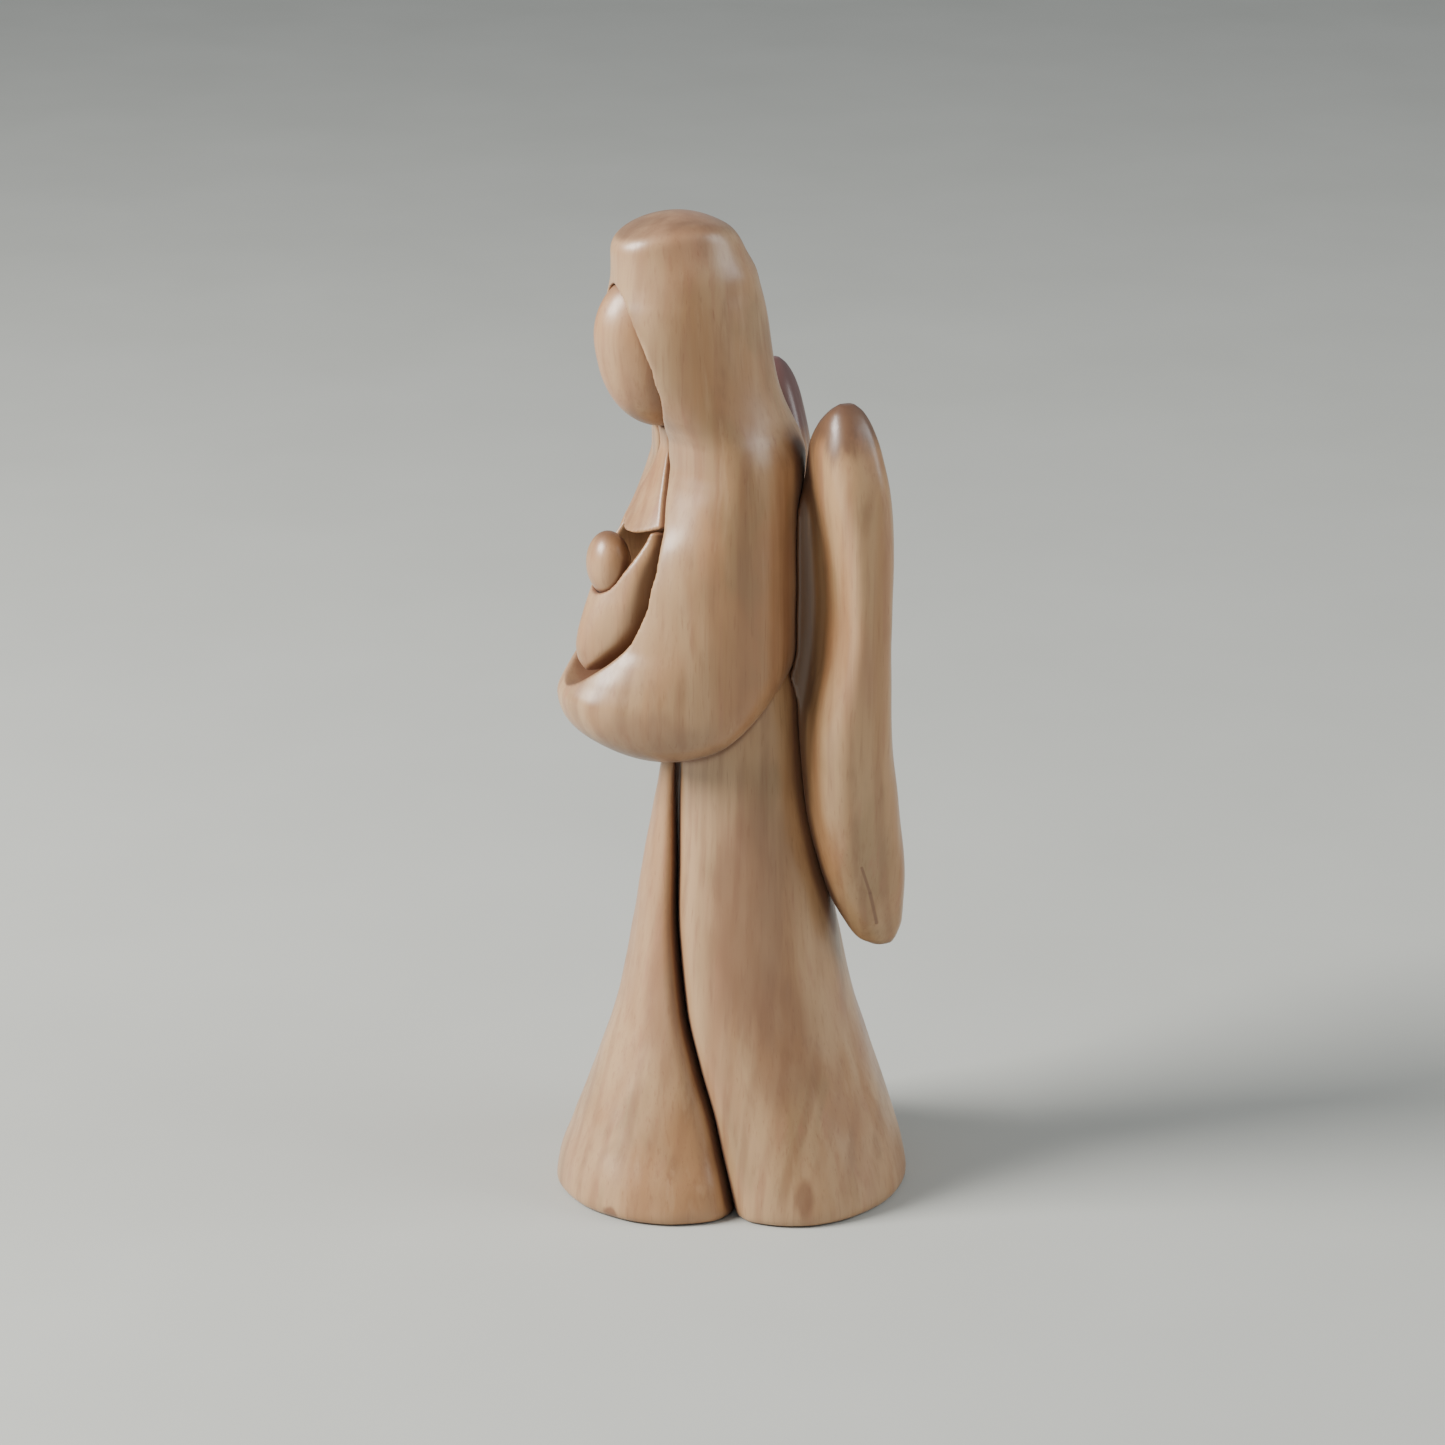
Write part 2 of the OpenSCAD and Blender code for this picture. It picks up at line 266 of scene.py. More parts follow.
MANTLE = Sections(COLUMN + " square", [
    [64, 15.2, -26.6, -4.0, 9.4, 2],
    [72, 15.4, -27.0, -4.0, 9.6, 2],
    [79, 15.5, -26.4, -4.0, 9.7, 2],
    [82.5, 15.5, -24.6, -3.7, 9.6, 2],
    [85.5, 15.5, -22.5, -3.5, 9.5, 2],
    [88, 15.5, -20.8, -3.3, 9.4, 2],
    [91, 15.4, -19.8, -3.1, 9.4, 2],
    [94, 15.3, -19.0, -2.9, 9.4, 2],
    [97, 15.2, -18.3, -2.8, 9.4, 2],
    [100, 15.1, -17.1, -2.7, 9.4, 2],
    [102.5, 15.0, -15.9, -2.6, 9.5, 2],
    [106.3, 14.7, -13.6, -2.5, 9.8, 2],
    [109, 14.5, -12.3, -2.5, 10.2, 2],
    [111.5, 14.2, -11.2, -2.5, 10.7, 2],
    [114, 13.8, -10.5, -2.7, 10.9, 2],
    [117, 13.0, -10.5, -3.2, 10.2, 2.1],
    [119, 12.3, -11.4, -3.8, 9.2, 2.2],
    [121.6, 11.6, -13.4, -4.4, 8.0, 2.4],
    [125, 10.9, -15.6, -5.0, 6.9, 2.6],
    [128, 10.5, -17.3, -5.4, 6.3, 2.7],
    [131, 10.2, -18.1, -5.7, 5.8, 2.7],
    [134, 10.0, -18.2, -6.0, 5.3, 2.6],
    [137, 9.7, -18.0, -6.0, 4.7, 2.45],
    [139, 9.4, -17.7, -6.1, 4.2, 2.3],
    [141, 9.1, -17.5, -6.2, 3.7, 2.2],
    [145, 7.9, -17.6, -6.6, 1.7, 2.1],
    [149, 6.6, -17.9, -7.0, 0.4, 2.1],
    [152, 5.2, -18.2, -7.0, 0.0, 2.1],
])

# the carved opening of the mantle: round the baby, pinched under the chin, round the face
OPENING = Sections("half", [
    [81.1, -1.0], [81.5, 0.8], [82.0, 1.9], [82.7, 2.9], [83.5, 3.8], [84.7, 4.9], [86, 5.9],
    [87.4, 6.7], [89, 7.4], [92, 8.1], [95, 8.5], [98.6, 8.5], [100.9, 8.1], [102.6, 7.6],
    [104.6, 6.75], [106.5, 5.7], [110, 3.8], [112.6, 2.6], [115.5, 1.9], [117, 1.9], [119, 2.9],
    [121.1, 5.0], [123.3, 6.7], [125.6, 7.5], [128.6, 7.6], [131.5, 7.0], [134.2, 5.9],
    [136.7, 4.15], [138.5, 2.2], [139.6, 1.0], [140.6, -1.0],
])
# where the opening starts and ends, and where the wall at its back stands
OPENING_LOW, OPENING_HIGH, OPENING_WALL = 80.9, 140.6, -7.5

CHEST = Sections("front", [
    [100, -17.2], [103.6, -16.2], [104, -15.8], [106.3, -14.2], [109, -12.8], [111.5, -11.6], [114, -10.7],
    [116, -10.2], [118, -10.4], [121, -10.8],
])

SWADDLE = Sections("front bend half", [
    [82.7, -21.8, 0.22, -1.0],
    [83.2, -22.3, 0.21, 0.6],
    [83.9, -22.9, 0.2, 1.7],
    [85.2, -23.5, 0.19, 3.0],
    [86.8, -23.7, 0.18, 4.1],
    [88.3, -23.5, 0.17, 4.9],
    [91.3, -22.6, 0.13, 5.9],
    [94.5, -21.3, 0.09, 6.2],
    [100, -19.2, 0.08, 6.3],
    [102, -17.9, 0.08, 6.1],
    [103.5, -16.8, 0.075, 5.9],
    [108, -15.4, 0.07, 5.6],
])

WING = Sections(COLUMN + " square middle", [
    [39.1, 0.8, 18.2, 19.6, 21.2, 2, 12.6],
    [40.3, 2, 16.0, 18.8, 21.8, 2, 12.4],
    [43.1, 3.9, 14.0, 18, 22.4, 2.2, 12],
    [47.1, 5.6, 12.0, 17.2, 22.4, 2.4, 11.6],
    [54.1, 7.7, 9.6, 15.8, 21.7, 2.7, 11.2],
    [63.1, 9, 7.8, 14.2, 20.3, 3, 11.2],
    [72.1, 9.7, 7.4, 13.4, 18.7, 3.1, 11.4],
    [86.1, 10.2, 9.4, 13.4, 17.4, 3.2, 11.8],
    [92.1, 10.3, 9.8, 13.5, 17.2, 3.2, 11.9],
    [98.1, 10.2, 9.6, 13.4, 17.3, 3.2, 12.1],
    [105.1, 9.6, 9.0, 13.3, 17.7, 3.1, 12.4],
    [111.1, 8.4, 8.2, 13.1, 17.5, 2.8, 12.9],
    [116.1, 6.6, 8.0, 12.8, 16.8, 2.5, 13.4],
    [120.1, 4.4, 8.8, 12.4, 15.8, 2.2, 13.9],
    [122.3, 2.4, 10.0, 12.3, 14.7, 2, 14.3],
    [123.4, 0.8, 11.2, 12.3, 13.5, 2, 14.5],
])
# a wing's back: how far it slants to the outside and how square it is
WING_SWEEP, WING_BACK_SQUARE = 0.18, 2.2

ROBE_TOP, PANEL_TOP, CHEST_TOP = 86, 72, 121

# how far the foot is rounded, and the round stub that joins the robe and the mantle
HEM_EDGE = 1.2
TENON_R, TENON_LOW, TENON_HIGH = 6, 76, 92

# directions across the V groove and into it, and how deep it is
GROOVE_X, GROOVE_Y, GROOVE_DEPTH = 0.39, 0.92, 1.9

# the cloak's foot: its height, its bow to the sides and to the front, and its rise to the back
FOOT, FOOT_SIDE_BOW, FOOT_FRONT_BOW, FOOT_FRONT = 68.6, 0.022, 0.029, -10
RISE, RISE_FROM, RISE_BLEND = 0.9, -5.3, 1.5

# the hood's domed top: where it is highest, and its bow to the front, the back and the sides
DOME, DOME_Y = 149.9, -7.5
DOME_FRONT_BOW, DOME_BACK_BOW, DOME_SIDE_BOW = 0.036, 0.043, 0.03

# the face's egg, which leans back above a height, and the baby's head
FACE_AT, FACE_SIZE = np.array([0, -10.3, 132.0]), np.array([7.0, 9.9, 13.1])
FACE_TOP, FACE_PLAN = 0.77, 1.9
FACE_LEAN, FACE_LEAN_FROM = 0.07, 129
HEAD_AT, HEAD_SIZE = np.array([0, -18.7, 99.0]), np.array([3.9, 3.2, 4.8])

# the chest's lower edge and how it bows, and how the chest bends round to the sides
CHEST_EDGE, CHEST_EDGE_BOW, CHEST_BEND = 103.6, 0.043, 0.04

# the hollow in the wrap behind the baby's head
HOLLOW_AT, HOLLOW_HALF, HOLLOW_DEPTH, HOLLOW_FROM = 102.7, 4.9, 7.6, 90

# the rib behind the back that carries a wing, and how far from the middle it stops
RIB_AT, RIB_HALF, RIB_STOP = [6.2, 8.5, 82], [3.8, 4.5, 29], 0.9

# the clearance round a dowel, and a distance that stands for nothing near
DOWEL_ROOM, FAR = 0.06, 99.0


# in a shape, p holds points as rows of x, y and z, and d is their distance from it, negative inside

def column(p, sections, middle=0.0, sweep=0.0, back_square=2.0):
    """A solid whose level sections are two half ovals that meet where it is widest.

    A square of 2 makes an oval and more makes it squarer; sweep slants the back to one side.
    """
    x, y, z = p[:, 0] - middle, p[:, 1], p[:, 2]
    half = sections.at("half", z)
    widest = sections.at("widest", z)
    y = y - widest
    behind = y > 0
    y = np.where(behind, y - sweep * np.clip(x, -half, half) * np.minimum(1, y / 2.0), y)
    reach = np.where(behind, sections.at("back", z) - widest, widest - sections.at("front", z))
    front_square = sections.at("square", z) if "square" in sections.curves else 2.0
    square = np.where(behind, back_square, front_square)
    r = ((np.abs(x) / half) ** square + (np.abs(y) / reach) ** square) ** (1 / square)
    out = np.hypot(x, y)
    radius = np.where(r > 1e-6, out / np.maximum(r, 1e-6), np.minimum(half, reach))
    return out - radius


def egg(p, centre, size, top=1.0, plan=2.0):
    """An egg: top is its height above the centre as a share of that below, plan 2 a round section."""
    scaled = (p - centre) / size
    scaled[:, 2] = np.where(scaled[:, 2] > 0, scaled[:, 2] / top, scaled[:, 2])
    flat = (np.abs(scaled[:, 0]) ** plan + np.abs(scaled[:, 1]) ** plan) ** (1 / plan)
    r = np.hypot(flat, scaled[:, 2])
    out = np.linalg.norm(p - centre, axis=1)
    return out - out / np.maximum(r, 1e-6)


def ripple(p):
    """The slight waves that a knife and sandpaper leave: a long one and a short one, in millimetres."""
    x, y, z = p.T
    long_wave = np.sin(0.23 * z + 0.5 * x) * np.sin(0.31 * x - 0.27 * y + 0.08 * z + 1.3)
    short_wave = np.sin(0.61 * z - 0.4 * x + 0.5 * y) * np.sin(0.72 * x + 0.66 * y + 0.13 * z)
    return 0.09 * long_wave + 0.035 * short_wave


def robe_body(p):
    d = soft_max(column(p, ROBE) + ripple(p), -p[:, 2], HEM_EDGE)
    return soft_max(d, p[:, 2] - ROBE_TOP, 1.0)


def groove(p):
    """Distance across the V groove, distance into it and its half width."""
    x, y, z = p.T
    zc = np.clip(z, GROOVE.low, GROOVE.high)
    x, y = np.abs(x) - GROOVE.at("x", zc), y - GROOVE.at("y", zc)
    return GROOVE_X * x + GROOVE_Y * y, -GROOVE_Y * x + GROOVE_X * y, GROOVE.at("half", zc)


def trench(p):
    """What the V groove takes away: walls that meet at its bottom, up to the top of the panel."""
    across, depth, half = groove(p)
    walls = 0.94 * (np.abs(across) - half * (1 - depth / GROOVE_DEPTH))
    return np.maximum(walls, 0.9 * (p[:, 2] - PANEL_TOP))


def panel_body(p):
    d = soft_max(column(p, PANEL) + ripple(p), -p[:, 2], HEM_EDGE)
    d = soft_max(d, p[:, 2] - PANEL_TOP, 1.0)
    return soft_max(d, groove(p)[0], 0.3)


def tenon(p, grow=0.0):
    """The round stub on the robe that the mantle sits on."""
    d = np.hypot(p[:, 0], p[:, 1]) - TENON_R - grow
    return np.maximum(d, np.maximum(p[:, 2] - TENON_HIGH - grow, TENON_LOW - p[:, 2]))


def mantle_body(p):
    """The hood and cloak before the opening is carved: a column with a sloping foot and a domed top."""
    x, y, z = p.T
    ahead = np.maximum(FOOT_FRONT - y, 0)
    under = FOOT + FOOT_SIDE_BOW * x**2 + FOOT_FRONT_BOW * ahead**2
    under = under + RISE * soft_ramp(y - RISE_FROM, RISE_BLEND)
    turn = RISE / (1 + np.exp(-(y - RISE_FROM) / RISE_BLEND))
    slope = np.sqrt(1 + (2 * FOOT_SIDE_BOW * x) ** 2 + (2 * FOOT_FRONT_BOW * ahead) ** 2 + turn**2)
    d = soft_max(column(p, MANTLE) + ripple(p), (under - z) / slope, 4.0)
    bow = np.where(y < DOME_Y, DOME_FRONT_BOW, DOME_BACK_BOW)
    dome = DOME - bow * (y - DOME_Y) ** 2 - DOME_SIDE_BOW * x**2
    slope = np.sqrt(1 + (2 * bow * (y - DOME_Y)) ** 2 + (2 * DOME_SIDE_BOW * x) ** 2)
    return soft_max(d, (z - dome) / slope, 1.4)


def opening(p, inset=0.0):
    """The space carved out of the mantle for the face, the chest and the baby."""
    x, y, z = p.T
    d = np.abs(x) - OPENING.at("half", z) + inset
    d = np.maximum(d, np.maximum(OPENING_LOW + inset - z, z - OPENING_HIGH))
    return soft_max(d, y - OPENING_WALL, 1.0)


def face(p):
    lean = np.zeros_like(p)
    lean[:, 1] = FACE_LEAN * np.maximum(p[:, 2] - FACE_LEAN_FROM, 0)
    return egg(p + lean, FACE_AT, FACE_SIZE, FACE_TOP, FACE_PLAN)


def chest_edge(x):
    """Height of the lower edge of the chest."""
    return CHEST_EDGE + CHEST_EDGE_BOW * x**2


def chest(p):
    x, y, z = p.T
    front = CHEST.at("front", z) + CHEST_BEND * x**2 - y
    d = soft_max(0.85 * front, chest_edge(x) - z, 0.5)
    d = soft_max(d, z - CHEST_TOP, 0.5)
    return soft_max(d, y - OPENING_WALL - GLUE, 0.6)


def bodice(p):
    d = soft_max(chest(p), opening(p, GLUE), 0.25)
    return soft_max(d, GLUE - face(p), 0.25)


def baby_egg(p):
    return egg(p, HEAD_AT, HEAD_SIZE)


def baby_head(p):
    return soft_max(baby_egg(p), GLUE - chest(p), 0.4)


def swaddle(p):
    """The baby's wrap: a bowed shield with a hollow for the head, apart from the rim by a deep groove."""
    x, y, z = p.T
    front, bend = SWADDLE.at("front", z), SWADDLE.at("bend", z)
    d = (front + bend * x**2 - y) / np.sqrt(1.15 + (2 * bend * x) ** 2)
    side = np.abs(x) - SWADDLE.at("half", z)
    d = soft_max(d, 0.85 * np.maximum(side, SWADDLE.low - z), 0.7)
    drop = np.minimum((z - HOLLOW_AT) / HOLLOW_DEPTH, 0)
    hollow = (np.hypot(x / HOLLOW_HALF, drop) - 1) * HOLLOW_HALF
    d = soft_max(d, np.where(z > HOLLOW_FROM, -hollow, -FAR), 0.8)
    d = soft_max(d, z - chest_edge(x) + GLUE, 0.5)
    d = soft_max(d, y - OPENING_WALL + GLUE, 0.5)
    d = soft_max(d, GLUE - baby_egg(p), 0.4)
    return soft_max(d, GLUE - chest(p), 0.4)


def robe(p):
    d = soft_max(robe_body(p), GLUE - panel_body(p), 0.3)
    d = soft_max(d, -trench(p), 1.2)
    return np.minimum(np.maximum(d, -dowels(p)), tenon(p))


def dress_panel(p):
    return soft_max(panel_body(p), -trench(p), 1.8)


def mantle(p):
    lip = 0.7 + 0.5 * step_up(p[:, 2], 98, 106)
    d = soft_max(mantle_body(p), -opening(p), lip)
    d = soft_max(d, GLUE - face(p), 0.6)
    d = soft_max(d, GLUE - np.minimum(robe_body(p), panel_body(p)), 0.5)
    return np.maximum(d, np.maximum(-tenon(p, GLUE), -dowels(p)))


def wing_blade(p):
    z = p[:, 2]
    middle = WING.at("middle", np.clip(z, WING.low, WING.high))
    d = column(p, WING, middle, WING_SWEEP, WING_BACK_SQUARE) + ripple(p)
    return np.maximum(d, np.maximum(WING.low - z, z - WING.high))


def wing_root(p):
    across, behind, along = (np.abs(p - RIB_AT) - RIB_HALF).T
    return soft_max(soft_max(across, behind, 1.5), along, 6)


def left_wing(p):
    d = soft_min(wing_blade(p), wing_root(p), 2.0)
    d = soft_max(d, RIB_STOP - p[:, 0], 1.0)
    d = soft_max(d, GLUE - np.minimum(mantle_body(p), robe_body(p)), 0.5)
    return np.maximum(d, -dowels(p))


def mirrored(shape):
    return lambda p: shape(p * [-1, 1, 1])


right_wing = mirrored(left_wing)


def dowel_places():
    """Middles, half length and radius of the hidden dowels, from the CAD's own on the left side."""
    low, high = (np.array(c) * 1000 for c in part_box("left_wing_dowels"))
    middle = (low + high) / 2
    r = (high[0] - low[0]) / 2
    return [(middle[0], middle[1], z) for z in (low[2] + r, high[2] - r)], (high[1] - low[1]) / 2, r


DOWELS, DOWEL_HALF, DOWEL_R = dowel_places()


def dowels(p):
    """The bores that hold the dowels."""
    x, y, z = p.T
    d = np.full(len(p), FAR)
    for cx, cy, cz in DOWELS:
        across = np.hypot(np.abs(x) - cx, z - cz) - DOWEL_R - DOWEL_ROOM
        d = np.minimum(d, np.maximum(across, np.abs(y - cy) - DOWEL_HALF - DOWEL_ROOM))
    return d


# pieces with small edges are carved on a finer grid
FINE_PIECES = ("mantle", "face", "bodice", "swaddle", "baby_head")

# by CAD node: the piece's shape, the low and high corner of the box it lies in, and its slot
PIECES = {
    "robe": (robe, [-25.2, -14, 0], [25.2, 27.5, 93], "robe_wood"),
    "dress_panel": (dress_panel, [-19, -27.6, 0], [19, 8.6, 72.5], "dress_wood"),
    "mantle": (mantle, [-16, -28, 66], [16, 12, 151], "mantle_wood"),
    "face": (face, [-9, -21.5, 118], [9, 0, 145], "face_wood"),
    "bodice": (bodice, [-11, -18, 103], [11, -7, 121.5], "dress_wood"),
    "swaddle": (swaddle, [-10, -25, 80], [10, -7, 108], "baby_wood"),
    "baby_head": (baby_head, [-5, -22.5, 94], [5, -13.5, 106], "baby_wood"),
    "left_wing": (left_wing, [0.5, 4, 38.5], [23.5, 23, 124], "wing_wood"),
    "right_wing": (right_wing, [-23.5, 4, 38.5], [-0.5, 23, 124], "wing_wood"),
}


def everything(p):
    """Distance from the whole figurine, for the shade painted into its grooves."""
    left = p * np.where(p[:, :1] < 0, [[-1, 1, 1]], [[1, 1, 1]])
    d = np.minimum(robe(p), dress_panel(p))
    for shape in (mantle, face, bodice, swaddle, baby_head):
        d = np.minimum(d, shape(p))
    return np.minimum(d, left_wing(left))


# how far out from the surface the painted shade in the grooves looks, in millimetres, and what each look
# counts
CREVICE_LOOKS = ((0.7, 0.35), (1.8, 0.45), (4.5, 0.35))


def crevice(points, normals):
    """How much shade to paint: 0 in the open to 1 deep in a groove, by how much of the space above each
    point is taken up.
    """
    taken = np.zeros(len(points))
    for reach, weight in CREVICE_LOOKS:
        free = everything(points + reach * normals) / reach
        taken += weight * np.clip(1 - free, 0, 1.4)
    return np.clip(taken, 0, 1)


# ---- Materials: one wood with a vertical grain ----

class Nodes:
    """Short calls for building a node tree."""

    def __init__(self, tree):
        self.tree = tree

    def add(self, kind, **settings):
        node = self.tree.nodes.new(kind)
        for name, value in settings.items():
            setattr(node, name, value)
        return node

    def put(self, socket, value):
        if isinstance(value, bpy.types.NodeSocket):
            self.tree.links.new(value, socket)
        else:
            socket.default_value = value

    def math(self, operation, *values):
        node = self.add("ShaderNodeMath", operation=operation)
        for socket, value in zip(node.inputs, values):
            self.put(socket, value)
        return node.outputs[0]

    def vector(self, operation, a, b=(0, 0, 0), out=0):
        node = self.add("ShaderNodeVectorMath", operation=operation)
        self.put(node.inputs[0], a)
        self.put(node.inputs[1], b)
        return node.outputs[out]

    def noise(self, at, detail=2.0, rough=0.55, twist=0.0):
        node = self.add("ShaderNodeTexNoise")
        self.put(node.inputs["Vector"], at)
        node.inputs["Scale"].default_value = 1.0
        node.inputs["Detail"].default_value = detail
        node.inputs["Roughness"].default_value = rough
        node.inputs["Distortion"].default_value = twist
        return node.outputs["Fac"]

    def ramp(self, value, low, high, to_low=0.0, to_high=1.0):
        node = self.add("ShaderNodeMapRange", interpolation_type="SMOOTHSTEP")
        for socket, number in zip(node.inputs, (value, low, high, to_low, to_high)):
            self.put(socket, number)
        return node.outputs[0]

    def mix(self, share, a, b, blend="MIX"):
        node = self.add("ShaderNodeMix", data_type="RGBA", blend_type=blend)
        self.put(node.inputs["Factor"], share)
        self.put(node.inputs["A"], a)
        self.put(node.inputs["B"], b)
        return node.outputs["Result"]


# the wood's own tones, then its dark ends and marks, and the browns of the shade painted into grooves,
# gaps and shaded places
PALE = (0.49, 0.305, 0.158, 1)
HONEY = (0.38, 0.198, 0.085, 1)
OLIVE = (0.28, 0.18, 0.085, 1)
ROSE = (0.36, 0.17, 0.088, 1)
HEART = (0.20, 0.075, 0.032, 1)
END_GRAIN = (0.15, 0.072, 0.032, 1)
SHADE_BROWN = (0.22, 0.10, 0.05, 1)
SHADE = (0.19, 0.08, 0.036, 1)
APEX = (0.11, 0.05, 0.028, 1)
FAR_APEX = (0.1, 0.04, 0.042, 1)
GAP_SHADE = (0.1, 0.048, 0.028, 1)
FLOOR_DARK, FLOOR_LIGHT = (0.46, 0.47, 0.43, 1), (0.52, 0.53, 0.49, 1)

# the tree's rings, in metres: from its heart to the figurine's axis, and from ring to ring
FROM_HEART, RING_STEP = (0.021, 0.034, 0), 0.0031


def spot_mask(n, place, middle, size, ragged):
    """1 inside a ragged oval spot and 0 outside; middle and size in millimetres."""
    off = n.vector("SUBTRACT", place, [c / 1000 for c in middle])
    far = n.vector("LENGTH", n.vector("MULTIPLY", off, [1000 / s for s in size]), out=1)
    edge = n.math("ADD", far, n.math("MULTIPLY", n.math("SUBTRACT", ragged, 0.5), 0.9))
    return n.ramp(edge, 1.1, 0.55)


def line_mask(n, place, start, end, width):
    """1 on a fine straight mark from start to end, in millimetres."""
    first = np.array(start) / 1000
    along = np.array(end) / 1000 - first
    off = n.vector("SUBTRACT", place, list(first))
    share = n.math("DIVIDE", n.vector("DOT_PRODUCT", off, list(along), out=1), float(along @ along))
    share = n.math("MAXIMUM", n.math("MINIMUM", share, 1.0), 0.0)
    node = n.add("ShaderNodeVectorMath", operation="SCALE")
    n.put(node.inputs[0], list(along))
    n.put(node.inputs["Scale"], share)
    far = n.vector("DISTANCE", off, node.outputs[0], out=1)
    return n.ramp(far, width / 1000, width / 3000)


def grain(n, place, seed):
    """The wood's patterns by name; seed moves them about.

    Each is stretched along the grain: its waves per metre across and along, then the noise's settings.
    """
    shifted = n.vector("ADD", place, (0.013 * seed, 0.021 * seed, 0.05 * seed))

    def pattern(across, along, *shape):
        return n.noise(n.vector("MULTIPLY", shifted, (across, across, along)), *shape)

    return {
        "sway": pattern(30, 14, 1.0),
        "broad": pattern(150, 7, 2.0, 0.6, 0.35),
        "streak": pattern(420, 11, 3.0, 0.62, 0.3),
        "fibre": pattern(1500, 45, 2.0, 0.6),
        "pore": pattern(2600, 210, 1.0),
        "blotch": pattern(55, 24, 2.0, 0.55, 0.6),
        "cloud": pattern(95, 42, 3.0, 0.6, 0.4),
    }


def ring_mask(n, place, sway, cloud):
    """Dark growth rings round the tree's heart, wavering and faint in places."""
    flat = n.vector("MULTIPLY", n.vector("ADD", place, FROM_HEART), (1, 1, 0.03))
    rings = n.math("ADD", n.vector("LENGTH", flat, out=1), n.math("MULTIPLY", sway, 0.009))
    ring = n.math("SINE", n.math("MULTIPLY", rings, 2 * math.pi / RING_STEP))
    return n.math("MULTIPLY", n.ramp(ring, -0.2, 1.0), n.ramp(cloud, 0.35, 0.62))


def wood_colour(n, place, parts):
    """The plain wood, from its broad tones down to its pores."""
    ring = ring_mask(n, place, parts["sway"], parts["cloud"])
    colour = n.mix(n.ramp(parts["broad"], 0.32, 0.68), HONEY, PALE)
    colour = n.mix(n.ramp(parts["blotch"], 0.52, 0.72, 0, 0.55), colour, ROSE)
    colour = n.mix(n.ramp(parts["cloud"], 0.5, 0.7, 0, 0.5), colour, OLIVE)
    colour = n.mix(n.math("MULTIPLY", ring, 0.3), colour, HEART)
    colour = n.mix(n.ramp(parts["streak"], 0.54, 0.72, 0, 0.5), colour, ROSE)
    colour = n.mix(n.ramp(parts["streak"], 0.46, 0.3, 0, 0.35), colour, PALE)
    colour = n.mix(n.ramp(parts["fibre"], 0.5, 0.75, 0, 0.22), colour, HEART)
    return n.mix(n.ramp(parts["pore"], 0.66, 0.74, 0, 0.22), colour, HEART)


def end_grain_mask(n):
    """1 where the surface lies across the grain, level, and 0 on upright surfaces."""
    facing = n.add("ShaderNodeSeparateXYZ")
    n.put(facing.inputs[0], n.add("ShaderNodeNewGeometry").outputs["Normal"])
    return n.ramp(n.math("ABSOLUTE", facing.outputs["Z"]), 0.5, 0.95)


def wood_sheen(n, shader, parts, end_on, painted_shade):
    """A rubbed wax finish with a fine relief, duller on end grain and in the grooves."""
    rough = n.math("ADD", n.ramp(parts["fibre"], 0.3, 0.7, 0.4, 0.48), n.math("MULTIPLY", end_on, 0.12))
    n.put(shader.inputs["Roughness"], n.math("ADD", rough, n.math("MULTIPLY", painted_shade, 0.3)))
    shader.inputs["Coat Weight"].default_value = 0.45
    shader.inputs["Coat Roughness"].default_value = 0.27
    shader.inputs["Sheen Weight"].default_value = 0.05
    bump = n.add("ShaderNodeBump")
    bump.inputs["Strength"].default_value = 0.25
    bump.inputs["Distance"].default_value = 0.00012
    fibres, streaks = n.math("MULTIPLY", parts["fibre"], 0.6), n.math("MULTIPLY", parts["streak"], 0.8)
    n.put(bump.inputs["Height"], n.math("ADD", fibres, streaks))
    n.put(shader.inputs["Normal"], bump.outputs["Normal"])


def wood(name, seed, tint=(1, 1, 1), spots=(), lines=()):
    """Light fruitwood, sanded and waxed.

    Each spot is (middle, size, colour, strength) and each line is (start, end, width).
    """
    material = bpy.data.materials.new(name)
    material.use_nodes = True
    n = Nodes(material.node_tree)
    shader = material.node_tree.nodes["Principled BSDF"]
    place = n.add("ShaderNodeTexCoord").outputs["Object"]
    parts = grain(n, place, seed)
    colour = wood_colour(n, place, parts)

    end_on = end_grain_mask(n)
    end_share = n.math("MULTIPLY", end_on, n.ramp(parts["cloud"], 0.3, 0.6, 0.5, 0.9))
    colour = n.mix(end_share, colour, END_GRAIN)
    for middle, size, spot, strength in spots:
        mask = spot_mask(n, place, middle, size, parts["streak"])
        colour = n.mix(n.math("MULTIPLY", mask, strength), colour, spot)
    for start, end, width in lines:
        mask = line_mask(n, place, start, end, width)
        colour = n.mix(n.math("MULTIPLY", mask, 0.75), colour, SHADE)

    # painted shade: grooves, gaps and hollows darken towards the shade brown as the space above them fills
    # up
    deep = n.add("ShaderNodeAttribute", attribute_name="crevice").outputs["Fac"]
    painted_shade = n.ramp(deep, 0.3, 0.95, 0, 0.85)
    colour = n.mix(painted_shade, colour, SHADE)
    colour = n.mix(1.0, colour, (*tint, 1), "MULTIPLY")
    n.put(shader.inputs["Base Color"], colour)
    wood_sheen(n, shader, parts, end_on, painted_shade)
    return material


def floor_material():
    material = bpy.data.materials.new("pale_floor")
    material.use_nodes = True
    n = Nodes(material.node_tree)
    shader = material.node_tree.nodes["Principled BSDF"]
    place = n.add("ShaderNodeTexCoord").outputs["Object"]
    mottle = n.noise(n.vector("MULTIPLY", place, (18, 18, 18)), 3.0)
    n.put(shader.inputs["Base Color"], n.mix(mottle, FLOOR_DARK, FLOOR_LIGHT))
    shader.inputs["Roughness"].default_value = 0.9
    return material


# ---- Pieces ----

